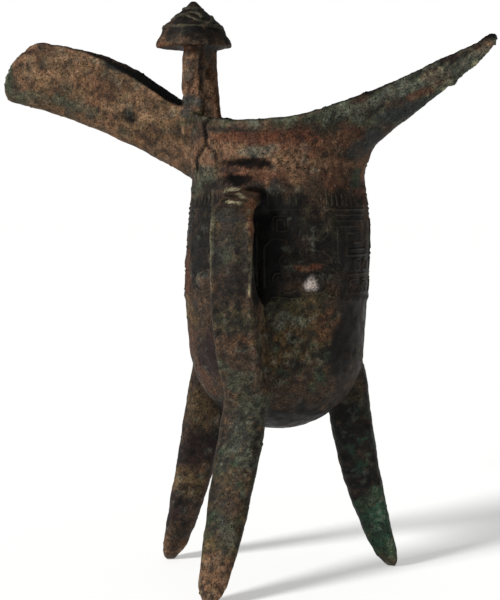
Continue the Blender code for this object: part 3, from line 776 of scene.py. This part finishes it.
def distanceToPath(points, path):
    best = np.full(len(points), 1e9)
    for a, b in zip(path, path[1:]):
        a, b = np.array(a, float), np.array(b, float)
        along = np.clip(((points - a) @ (b - a)) / ((b - a) @ (b - a)), 0, 1)
        best = np.minimum(best, np.linalg.norm(points - (a + along[:, None] * (b - a)), axis=1))
    return best


# How deep the damage is at each point, in mm: the hollows, and the crack by the post's foot.
# A spread over 1 reaches a little further round each hollow.
def damage(local, normals, spread=1.0):
    deep = np.zeros(len(local))
    rough = 0.25 * cloud(local, 2.2, 21, 2)
    for at, size, depth in hollows:
        far = farFrom(local, at, size) / spread + rough
        deep += depth * (1 - softStep(far, 0.35, 1.0))
    onFace = onNearFace(local) + 0.35 * np.stack([cloud(local, 2.4, 31 + i, 2) for i in range(2)], 1)
    away = np.minimum(*(distanceToPath(onFace, line) for line in crack["lines"]))
    deep += crack["depth"] * np.exp(-(away / crack["width"]) ** 2) * (local[:, 1] < -2)
    return deep * (normals[:, 1] < 0.2)


# The CAD solid welded and remeshed, so that its corners can be softened.
def remeshedCasting():
    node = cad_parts["jue_vessel"]
    welded = addObject("weldedVessel", node.data.copy())
    bm = bmesh.new()
    bm.from_mesh(welded.data)
    bmesh.ops.remove_doubles(bm, verts=bm.verts, dist=0.001 * mm)
    bm.to_mesh(welded.data)
    bm.free()
    remesh = welded.modifiers.new("voxels", "REMESH")
    remesh.mode = "VOXEL"
    remesh.voxel_size = vesselLook["voxel"]
    vessel = meshFrom(welded, "jueVessel")
    bpy.data.objects.remove(welded)
    return vessel


def softened(points, edges):
    points = relax(points, edges, vesselLook["softening"])
    for middle, reach, rounds in filletPlaces:
        far = farFrom(fromAxis(points), middle) / reach
        weight = 1 - softStep(far, 0.55, 1.0)
        points = relax(points, edges, rounds, push=0.5, pull=-0.1, weight=weight)
    return points


# How far the surface is pushed out at each point, in mm: cast lumps, crust and damage.
def surfacePush(local, normals):
    look = vesselLook
    push = look["lumpHeight"] * cloud(local, look["lumpSize"], 3, 3)
    rougher = 1 - look["bandCalm"] * softStep(-np.abs(local[:, 2] - look["bandMiddle"]), -20, -14)
    rougher += look["tailRough"] * softStep(local[:, 0] + 0.8 * (local[:, 2] - 150), 34, 44)
    push += look["crustHeight"] * rougher * cloud(local, look["crustSize"], 9, 3)
    push -= damage(local, normals)
    return push * softStep(local[:, 2], 0.2, 2.5)


def drawInToes(points, local):
    for x, y in feet["places"]:
        reach = np.hypot(local[:, 0] - x, local[:, 1] - y)
        sole = (reach < feet["reach"]) & (local[:, 2] < 1.0)
        if sole.any():
            middle = points[sole, :2].mean(0)
            foot = (reach < feet["reach"]) & (local[:, 2] < feet["height"])
            share = feet["drawnIn"] * (1 - local[foot, 2] / feet["height"]) ** 2
            points[foot, :2] += (middle - points[foot, :2]) * share[:, None]


def buildVessel():
    vessel = remeshedCasting()
    mesh = vessel.data
    points = softened(readMesh(mesh), readEdges(mesh))
    writeMesh(mesh, points)
    normals = readNormals(mesh)
    points = points + normals * (surfacePush(fromAxis(points), normals) * mm)[:, None]
    local = fromAxis(points)
    drawInToes(points, local)
    fromPoint = np.hypot(local[:, 0] - capLook["across"], local[:, 1]) / capLook["pointWidth"]
    points[:, 2] += capLook["pointHeight"] * mm * np.exp(-fromPoint**2) * (local[:, 2] > 180)
    tip = softStep(local[:, 0], *vesselLook["tipBlunted"])
    points -= np.outer(tip, np.array(vesselLook["tipDrawnIn"]) * mm)
    low = points[:, 2] < vesselLook["soleHeight"] * mm
    points[low, 2] = np.maximum(points[low, 2], 0.0)
    writeMesh(mesh, points)
    mesh.shade_smooth()
    print("vessel:", triangleCount(mesh), "triangles")
    return vessel


# A Geometry Nodes tree with a geometry going in and out and the named inputs given.
def newTree(name, inputs):
    tree = bpy.data.node_groups.new(name, "GeometryNodeTree")
    tree.interface.new_socket("Geometry", in_out="INPUT", socket_type="NodeSocketGeometry")
    for socket, kind in inputs:
        tree.interface.new_socket(socket, in_out="INPUT", socket_type="NodeSocket" + kind)
    tree.interface.new_socket("Geometry", in_out="OUTPUT", socket_type="NodeSocketGeometry")
    return tree, addNode(tree, "NodeGroupInput").outputs


def finishTree(tree, geometry, given):
    smooth = addNode(tree, "GeometryNodeSetShadeSmooth", inputs={"Geometry": geometry}).outputs[0]
    real = addNode(tree, "GeometryNodeRealizeInstances", inputs={"Geometry": smooth}).outputs[0]
    done = addNode(tree, "GeometryNodeSetMaterial", inputs={"Geometry": real, "Material": given["Material"]})
    addNode(tree, "NodeGroupOutput", inputs={"Geometry": done.outputs[0]})


# Runs a tree on an object and gives the result as a plain mesh object.
def runTree(obj, tree, values, name):
    modifier = obj.modifiers.new(tree.name, "NODES")
    modifier.node_group = tree
    for item in tree.interface.items_tree:
        if item.in_out == "INPUT" and item.name in values:
            modifier[item.identifier] = values[item.name]
    made = meshFrom(obj, name)
    obj.modifiers.remove(modifier)
    print(name + ":", triangleCount(made.data), "triangles")
    return made


# Raised threads: lines cast into the surface. Each is drawn near the surface, and the tree
# lays it on the vessel, wears it thin in places and gives it a round section.
threadLook = {
    "radius": 0.58 * mm,
    "step": 0.7 * mm,
    "lift": -0.24 * mm,
    "wearSize": 7.0 * mm,
    "wear": 0.5,
    "sides": 8,
    "paler": 0.03,
}


def threadTree():
    tree, given = newTree("raisedThreads", (
        ("Surface", "Object"), ("Thread Radius", "Float"), ("Step", "Float"), ("Lift", "Float"),
        ("Wear Size", "Float"), ("Wear", "Float"), ("Sides", "Int"), ("Material", "Material")))
    surface = addNode(tree, "GeometryNodeObjectInfo",
                      inputs={"Object": given["Surface"]}).outputs["Geometry"]
    drawn = addNode(tree, "GeometryNodeResampleCurve", {"mode": "LENGTH"},
                    inputs={"Curve": given["Geometry"], "Length": given["Step"]}).outputs[0]
    nearest = addNode(tree, "GeometryNodeProximity", {"target_element": "FACES"}, inputs={0: surface})
    normal = addNode(tree, "GeometryNodeInputNormal").outputs[0]
    sampled = addNode(tree, "GeometryNodeSampleNearestSurface", {"data_type": "FLOAT_VECTOR"},
                      inputs={"Mesh": surface, "Value": normal})
    raised = addNode(tree, "ShaderNodeVectorMath", {"operation": "SCALE"},
                     inputs={0: sampled.outputs["Value"], "Scale": given["Lift"]}).outputs[0]
    onSurface = addNode(tree, "ShaderNodeVectorMath", {"operation": "ADD"},
                        inputs={0: nearest.outputs["Position"], 1: raised}).outputs[0]
    laid = addNode(tree, "GeometryNodeSetPosition",
                   inputs={"Geometry": drawn, "Position": onSurface}).outputs[0]
    patch = patchNoise(tree, given["Wear Size"])
    least = calculate(tree, "SUBTRACT", 1.0, given["Wear"])
    worn = addNode(tree, "ShaderNodeMapRange", None,
                   {"From Min": 0.38, "From Max": 0.6, "To Max": 1.0, "Value": patch,
                    "To Min": least}).outputs[0]
    thinned = addNode(tree, "GeometryNodeSetCurveRadius", inputs={"Curve": laid, "Radius": worn}).outputs[0]
    ring = addNode(tree, "GeometryNodeCurvePrimitiveCircle",
                   inputs={"Resolution": given["Sides"], "Radius": given["Thread Radius"]}).outputs[0]
    swept = addNode(tree, "GeometryNodeCurveToMesh", None,
                    {"Fill Caps": True, "Curve": thinned, "Profile Curve": ring})
    if "Scale" in swept.inputs:
        tree.links.new(worn, swept.inputs["Scale"])
    finishTree(tree, swept.outputs[0], given)
    return tree


# One piece of raised threads from lines of points, in mm from the axis.
def layThreads(name, lines, surface, tree, material, radius):
    curve = bpy.data.curves.new(name + "Lines", "CURVE")
    curve.dimensions = "3D"
    for line in lines:
        spline = curve.splines.new("POLY")
        spline.points.add(len(line) - 1)
        for point, where in zip(spline.points, line):
            point.co = (*place(*where), 1)
    drawn = addObject(name + "Lines", curve)
    made = runTree(drawn, tree, {
        "Surface": surface, "Thread Radius": radius, "Step": threadLook["step"],
        "Lift": threadLook["lift"], "Wear Size": threadLook["wearSize"], "Wear": threadLook["wear"],
        "Sides": threadLook["sides"], "Material": material}, name)
    bpy.data.objects.remove(drawn)
    return made


# The band round the cup: a beast's mask on each broad side, drawn as half a mask and
# mirrored. Across is mm from the middle of the mask, up is height above the ground.
bandLook = {
    "halfLength": 30.6,  # of the oval that the lines are drawn on
    "halfWidth": 26.1,
    "halfMask": 44.5,
    "strokeTop": 124.8,
    "strokeBottom": 121.2,
    "strokePitch": 2.0,
    "eye": (18.3, 97.5),
    "eyeHalf": (4.8, 3.8),
    "frameLine": 120.0,
    "strapAlong": (-12.2, 4.6),  # where the strap's root covers the near mask, either side
    "strapAbove": 116.5,
    "strapBelow": 95.5,
}


def curl(across, up, size, turned, turns=1.6):
    points = []
    for i in range(17):
        reach = size * (1 - 0.86 * (i / 16))
        a = 2 * math.pi * turns * i / 16 - 0.6
        points.append((across + turned * reach * math.cos(a), up + reach * math.sin(a)))
    return points


def squareCurl(across, up, size, turned):
    half, gap = size / 2, size / 4.4
    points = [(-half, -half), (-half, half), (half, half), (half, -half), (-half + gap, -half),
              (-half + gap, half - gap), (half - gap, half - gap), (half - gap, -half + gap)]
    return [(across + turned * x, up + y) for x, y in points]


def halfMask():
    eyeAcross, eyeUp = bandLook["eye"]
    halfAcross, halfUp = bandLook["eyeHalf"]
    lines = [[(eyeAcross + halfAcross * math.cos(a), eyeUp + halfUp * math.sin(a))
              for a in (2 * math.pi * i / 20 for i in range(21))]]
    lines += [
        [(14.0, 96.6), (12.6, 95.0), (11.0, 94.4), (9.0, 94.8)],  # corners of the eye
        [(22.7, 98.5), (24.6, 99.8), (26.6, 99.6)],
        [(12.0, 100.9), (14.6, 103.0), (18.6, 103.7), (22.8, 102.8), (26.0, 100.9), (28.0, 97.9)],  # brow
        [(0.0, bandLook["frameLine"]), (bandLook["halfMask"], bandLook["frameLine"])],
        [(14.2, 105.6), (13.6, 111.5), (15.2, 115.9), (19.2, 117.8), (22.6, 116.2),  # horn
         (23.2, 112.4), (20.9, 110.0), (18.2, 111.2), (18.4, 113.6), (20.2, 114.0)],
        [(16.2, 105.6), (15.8, 108.0), (17.4, 107.6), (21.0, 107.2), (23.6, 105.6), (24.6, 103.2)],
        [(26.0, 118.3), (42.0, 118.3), (42.0, 105.6), (30.0, 105.6), (30.0, 112.6),  # body and tail
         (37.4, 112.6), (37.4, 109.6), (33.0, 109.6)],
        [(26.0, 116.5), (40.2, 116.5), (40.2, 107.4), (31.8, 107.4)],
        [(26.0, 114.7), (38.6, 114.7)],
        [(26.6, 114.7), (26.6, 104.4), (28.2, 102.6)],
        [(3.4, 93.4), (3.4, 108.6), (5.8, 111.2), (9.4, 110.6)],  # muzzle
        [(5.6, 93.2), (10.6, 92.8), (14.6, 92.8)],
        [(1.2, 92.6), (1.2, 118.6)],
        [(30.5, 93.0), (30.5, 99.6), (43.4, 99.6)],
    ]
    lines.append(curl(9.6, 104.0, 2.9, 1))
    lines.append(curl(7.8, 98.9, 2.2, -1))
    for across, up, size, turned in ((8.2, 115.8, 4.6, 1), (34.4, 95.8, 4.4, 1), (40.6, 95.8, 4.4, -1),
                                     (35.2, 102.6, 3.4, 1), (40.8, 102.6, 3.4, -1), (25.6, 94.6, 3.4, -1)):
        lines.append(squareCurl(across, up, size, turned))
    for i in range(int(bandLook["halfMask"] / bandLook["strokePitch"])):
        across = (i + 0.5) * bandLook["strokePitch"]
        lines.append([(across, bandLook["strokeBottom"]), (across, bandLook["strokeTop"])])
    return lines


# Points along a line no further apart than the step.
def divided(line, step=1.2):
    points = []
    for (x0, z0), (x1, z1) in zip(line, line[1:]):
        count = max(1, math.ceil(math.hypot(x1 - x0, z1 - z0) / step))
        points += [(x0 + (x1 - x0) * k / count, z0 + (z1 - z0) * k / count) for k in range(count)]
    return points + [line[-1]]


def bandLines():
    girth = math.pi * (bandLook["halfLength"] + bandLook["halfWidth"])
    lines = []
    for middle, side, line in ((m, s, l) for m in (-90, 90) for s in (-1, 1) for l in halfMask()):
        run = []
        for across, up in divided(line):
            along = side * across
            covered = (middle < 0 and bandLook["strapAlong"][0] < along < bandLook["strapAlong"][1]
                       and not bandLook["strapBelow"] < up < bandLook["strapAbove"])
            if not covered:
                turn = math.radians(middle) + 2 * math.pi * along / girth
                run.append((bandLook["halfLength"] * math.cos(turn),
                            bandLook["halfWidth"] * math.sin(turn), up))
            elif run:
                lines.append(run)
                run = []
        lines.append(run)
    return [line for line in lines if len(line) > 1]


# The cap's whorl: curved ridges between the step and the ring, laid as threads.
def capLines():
    foot, radius = capLook["step"]

    def onCone(turn, share):
        a = math.radians(turn)
        reach = radius * (1 - share)
        return (capLook["across"] + reach * math.cos(a), reach * math.sin(a),
                foot + (capLook["point"] - foot) * share)

    lines = [[onCone(turn, share) for turn in range(0, 361, 12)] for share in (0.0, capLook["topRing"])]
    for arm in range(capLook["arms"]):
        first = capLook["firstTurn"] + 360 * arm / capLook["arms"]
        lines.append([onCone(first + turn, share) for turn, share in (
            (0, 0.02), (18, 0.16), (36, 0.32), (56, 0.42), (74, 0.36), (98, 0.2), (124, 0.05))])
        lines.append([onCone(first + turn, share) for turn, share in (
            (62, 0.3), (70, 0.46), (90, 0.52), (112, 0.42), (116, 0.26))])
    return lines


# Crust grains: small warts of mineral that stand on the crusted parts of the surface.
grainLook = {
    "density": 0.16,  # grains to a square mm where the crust is full
    "least": 0.22 * mm,  # radius
    "most": 0.62 * mm,
    "flatness": 0.5,  # height over width
    "patch": 9.0 * mm,  # size of the patches that they gather in
    "seed": 7,
    "paler": 0.12,
}


def grainTree():
    tree, given = newTree("crustGrains", (
        ("Density", "Float"), ("Least Radius", "Float"), ("Most Radius", "Float"), ("Flatness", "Float"),
        ("Patch", "Float"), ("Seed", "Int"), ("Material", "Material")))
    crust = addNode(tree, "GeometryNodeInputNamedAttribute", {"data_type": "FLOAT"}, {"Name": "crust"})
    patch = patchNoise(tree, given["Patch"])
    grown = addNode(tree, "ShaderNodeMapRange", None,
                    {"From Min": 0.48, "From Max": 0.66, "Value": patch}).outputs[0]
    share = calculate(tree, "MULTIPLY", crust.outputs[0], grown)
    density = calculate(tree, "MULTIPLY", share, given["Density"])
    spots = addNode(tree, "GeometryNodeDistributePointsOnFaces", None,
                    {"Mesh": given["Geometry"], "Density": density, "Seed": given["Seed"]})
    ball = addNode(tree, "GeometryNodeMeshIcoSphere", None, {"Radius": 1.0, "Subdivisions": 1}).outputs[0]
    size = addNode(tree, "FunctionNodeRandomValue", {"data_type": "FLOAT"},
                   {2: given["Least Radius"], 3: given["Most Radius"], "Seed": given["Seed"]}).outputs[1]
    tall = calculate(tree, "MULTIPLY", size, given["Flatness"])
    stretch = addNode(tree, "ShaderNodeCombineXYZ", None, {0: size, 1: size, 2: tall}).outputs[0]
    grains = addNode(tree, "GeometryNodeInstanceOnPoints", None,
                     {"Points": spots.outputs["Points"], "Instance": ball,
                      "Rotation": spots.outputs["Rotation"], "Scale": stretch}).outputs[0]
    finishTree(tree, grains, given)
    return tree


bronze = patinatedBronze()
vessel = buildVessel()
vessel.data.materials.clear()
vessel.data.materials.append(bronze)
paintPatinaAndLight(vessel)
print("patina painted")
threads = threadTree()
band = layThreads("bandThreads", bandLines(), vessel, threads, bronze, threadLook["radius"])
whorl = layThreads("capWhorl", capLines(), vessel, threads, bronze, capLook["radius"])
grains = runTree(vessel, grainTree(), {
    "Density": grainLook["density"] / mm**2, "Least Radius": grainLook["least"],
    "Most Radius": grainLook["most"], "Flatness": grainLook["flatness"], "Patch": grainLook["patch"],
    "Seed": grainLook["seed"], "Material": bronze}, "crustGrains")
paintPatinaAndLight(band, threadLook["paler"])
paintPatinaAndLight(whorl, capLook["paler"])
paintPatinaAndLight(grains, grainLook["paler"])
for piece in (vessel, band, whorl, grains):
    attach(piece, "root")
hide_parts("jue_vessel")
print("pieces ride on the root")

# Stage: a pale floor under a white sky, and one soft light from the front left. The sky is
# bright behind the piece and dim for its light, as in a dark studio.
stageLook = {
    "tone": "f8f8f6",
    "roughness": 0.9,
    "halfSize": 4.0,
    "below": 0.2 * mm,  # the floor lies this far under the feet
    "glow": 0.37,  # lifts the floor to the sky's white
    "skySeen": 1.0,
    "skyLight": 0.21,
    "keyFrom": (-0.50, -0.74, 0.46),
    "keyStrength": 3.4,
    "keyAngle": 14.0,  # degrees: how soft the shadows are
}


def buildStage():
    look = stageLook
    half = look["halfSize"]
    mesh = bpy.data.meshes.new("floor")
    mesh.from_pydata([(-half, -half, 0), (half, -half, 0), (half, half, 0), (-half, half, 0)], [],
                     [(0, 1, 2, 3)])
    floor = addObject("floor", mesh)
    floor.location.z = -look["below"]
    paper = bpy.data.materials.new("palePaper")
    paper.use_nodes = True
    shader = paper.node_tree.nodes["Principled BSDF"]
    for name, value in (("Base Color", (*toLinear(look["tone"]), 1)), ("Roughness", look["roughness"]),
                        ("Emission Color", (1, 1, 1, 1)), ("Emission Strength", look["glow"])):
        shader.inputs[name].default_value = value
    mesh.materials.append(paper)
    sky = bpy.data.worlds.new("softSky")
    sky.use_nodes = True
    seen = addNode(sky.node_tree, "ShaderNodeLightPath").outputs["Is Camera Ray"]
    strength = addNode(sky.node_tree, "ShaderNodeMapRange", None,
                       {"To Min": look["skyLight"], "To Max": look["skySeen"],
                        "Value": seen})
    background = sky.node_tree.nodes["Background"]
    background.inputs[0].default_value = (1, 1, 1, 1)
    sky.node_tree.links.new(strength.outputs[0], background.inputs[1])
    bpy.context.scene.world = sky
    bpy.context.scene.view_settings.view_transform = "Standard"
    key = bpy.data.lights.new("keyLight", "SUN")
    key.energy = look["keyStrength"]
    key.angle = math.radians(look["keyAngle"])
    light = addObject("keyLight", key)
    light.rotation_euler = Vector(look["keyFrom"]).to_track_quat("Z", "Y").to_euler()


# Camera: level with the neck, a little to the tail's side of the handle.
cameraLook = {
    "distance": 480.0,  # mm
    "height": 129.0,
    "side": 8.8,  # the axis stands this far right of the picture's middle
    "pixelsPerRadian": 1478.0,
    "sensor": 36,
    "pictureHeight": 600,
    "eyeLine": 180.0,  # how far down the picture the camera's own height is
}


def buildCamera():
    look = cameraLook
    turn = math.radians(handleTurn)
    away = Vector((-math.sin(turn), math.cos(turn), 0))
    right = Vector((math.cos(turn), math.sin(turn), 0))
    lens = bpy.data.cameras.new("camera")
    camera = addObject("camera", lens)
    foot = place(0, 0, look["height"])
    camera.location = foot - away * look["distance"] * mm - right * look["side"] * mm
    aboveMiddle = look["pictureHeight"] / 2 - look["eyeLine"]
    drop = math.atan(aboveMiddle / look["pixelsPerRadian"])
    sight = away * math.cos(drop) - Vector((0, 0, math.sin(drop)))
    camera.rotation_euler = sight.to_track_quat("-Z", "Y").to_euler()
    lens.sensor_width = look["sensor"]
    lens.lens = look["sensor"] * look["pixelsPerRadian"] / look["pictureHeight"]
    bpy.context.scene.camera = camera


buildStage()
buildCamera()
